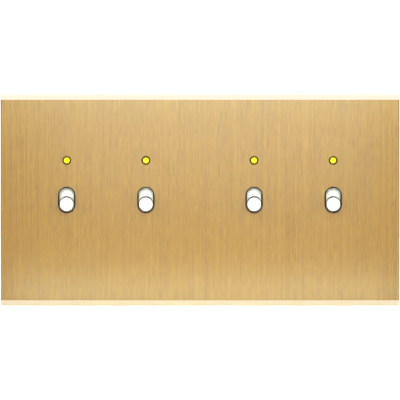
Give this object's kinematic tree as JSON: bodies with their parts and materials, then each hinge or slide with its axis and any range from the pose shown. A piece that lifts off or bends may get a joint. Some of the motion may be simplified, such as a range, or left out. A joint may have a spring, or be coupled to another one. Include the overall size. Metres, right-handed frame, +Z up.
{
  "type": "switch plate",
  "caption": "Wide brushed brass wall plate with white toggle levers in dark-edged slots, a small yellow lamp above each lever, and a hidden frame with the switches behind.",
  "frame": {"origin": "middle of the plate on the wall plane, which is also the middle of the line of box screw slots", "axes": "+X along the plate to the right as seen from the room, +Y into the wall, +Z up"},
  "size_m": [0.151, 0.0386, 0.08],
  "materials": {
    "brushed_brass": "brushed, lacquered",
    "lever_white": "glossy white moulding",
    "trim_black": "fine matte moulding",
    "lamp_yellow": "clear yellow lens",
    "housing_grey": "matte moulding",
    "zinc_steel": "zinc plated sheet",
    "spring_steel": "tempered spring steel",
    "screw_steel": "zinc plated",
    "terminal_brass": "turned brass",
    "contact_brass": "stamped brass with contact bars",
    "plunger_acetal": "smooth moulding",
    "board_green": "coated circuit board",
    "connector_grey": "matte moulding",
    "lead_tin": "tinned wire"
  },
  "bodies": {
    "plate": {"front_plate": "brushed_brass", "mounting_frame": "zinc_steel", "plate_studs": "terminal_brass", "stud_clips": "spring_steel", "clip_rivets": "screw_steel", "module_screws": "screw_steel", "terminal_screws": "screw_steel", "pivot_pins": "screw_steel", "lamp_leads": "lead_tin", "earth_terminal": "terminal_brass", "earth_screw": "screw_steel", "lamp_board_left": "board_green", "lamp_connector_left": "connector_grey", "lamp_board_right": "board_green", "lamp_connector_right": "connector_grey", "slot_liner_1": "trim_black", "common_terminal_1": "terminal_brass", "upper_terminal_1": "terminal_brass", "lower_terminal_1": "terminal_brass", "switch_housing_1": "housing_grey", "lamp_1": "lamp_yellow", "lamp_bezel_1": "trim_black", "slot_liner_2": "trim_black", "common_terminal_2": "terminal_brass", "upper_terminal_2": "terminal_brass", "lower_terminal_2": "terminal_brass", "switch_housing_2": "housing_grey", "lamp_2": "lamp_yellow", "lamp_bezel_2": "trim_black", "slot_liner_3": "trim_black", "common_terminal_3": "terminal_brass", "upper_terminal_3": "terminal_brass", "lower_terminal_3": "terminal_brass", "switch_housing_3": "housing_grey", "lamp_3": "lamp_yellow", "lamp_bezel_3": "trim_black", "slot_liner_4": "trim_black", "common_terminal_4": "terminal_brass", "upper_terminal_4": "terminal_brass", "lower_terminal_4": "terminal_brass", "switch_housing_4": "housing_grey", "lamp_4": "lamp_yellow", "lamp_bezel_4": "trim_black"},
    "toggle_1": {"lever_1": "lever_white", "plunger_1": "plunger_acetal", "plunger_spring_1": "spring_steel"},
    "rocker_1": {"contact_rocker_1": "contact_brass"},
    "toggle_2": {"lever_2": "lever_white", "plunger_2": "plunger_acetal", "plunger_spring_2": "spring_steel"},
    "rocker_2": {"contact_rocker_2": "contact_brass"},
    "toggle_3": {"lever_3": "lever_white", "plunger_3": "plunger_acetal", "plunger_spring_3": "spring_steel"},
    "rocker_3": {"contact_rocker_3": "contact_brass"},
    "toggle_4": {"lever_4": "lever_white", "plunger_4": "plunger_acetal", "plunger_spring_4": "spring_steel"},
    "rocker_4": {"contact_rocker_4": "contact_brass"}
  },
  "joints": [
    {"name": "toggle_1_tip", "type": "hinge", "parent": "plate", "child": "toggle_1", "pos_m": [-0.0505, 0.004, 0], "axis": [-1, 0, 0], "range_deg": [0, 13.2]},
    {"name": "rocker_1_tip", "type": "hinge", "parent": "plate", "child": "rocker_1", "pos_m": [-0.0505, 0.01785, 0], "axis": [1, 0, 0], "range_deg": [0, 14]},
    {"name": "toggle_2_tip", "type": "hinge", "parent": "plate", "child": "toggle_2", "pos_m": [-0.0205, 0.004, 0], "axis": [-1, 0, 0], "range_deg": [0, 13.2]},
    {"name": "rocker_2_tip", "type": "hinge", "parent": "plate", "child": "rocker_2", "pos_m": [-0.0205, 0.01785, 0], "axis": [1, 0, 0], "range_deg": [0, 14]},
    {"name": "toggle_3_tip", "type": "hinge", "parent": "plate", "child": "toggle_3", "pos_m": [0.0205, 0.004, 0], "axis": [-1, 0, 0], "range_deg": [0, 13.2]},
    {"name": "rocker_3_tip", "type": "hinge", "parent": "plate", "child": "rocker_3", "pos_m": [0.0205, 0.01785, 0], "axis": [1, 0, 0], "range_deg": [0, 14]},
    {"name": "toggle_4_tip", "type": "hinge", "parent": "plate", "child": "toggle_4", "pos_m": [0.0505, 0.004, 0], "axis": [-1, 0, 0], "range_deg": [0, 13.2]},
    {"name": "rocker_4_tip", "type": "hinge", "parent": "plate", "child": "rocker_4", "pos_m": [0.0505, 0.01785, 0], "axis": [1, 0, 0], "range_deg": [0, 14]}
  ],
  "couplings": [
    {"joint": "rocker_1_tip", "follows": "toggle_1_tip", "ratio": 1.0606},
    {"joint": "rocker_2_tip", "follows": "toggle_2_tip", "ratio": 1.0606},
    {"joint": "rocker_3_tip", "follows": "toggle_3_tip", "ratio": 1.0606},
    {"joint": "rocker_4_tip", "follows": "toggle_4_tip", "ratio": 1.0606}
  ]
}
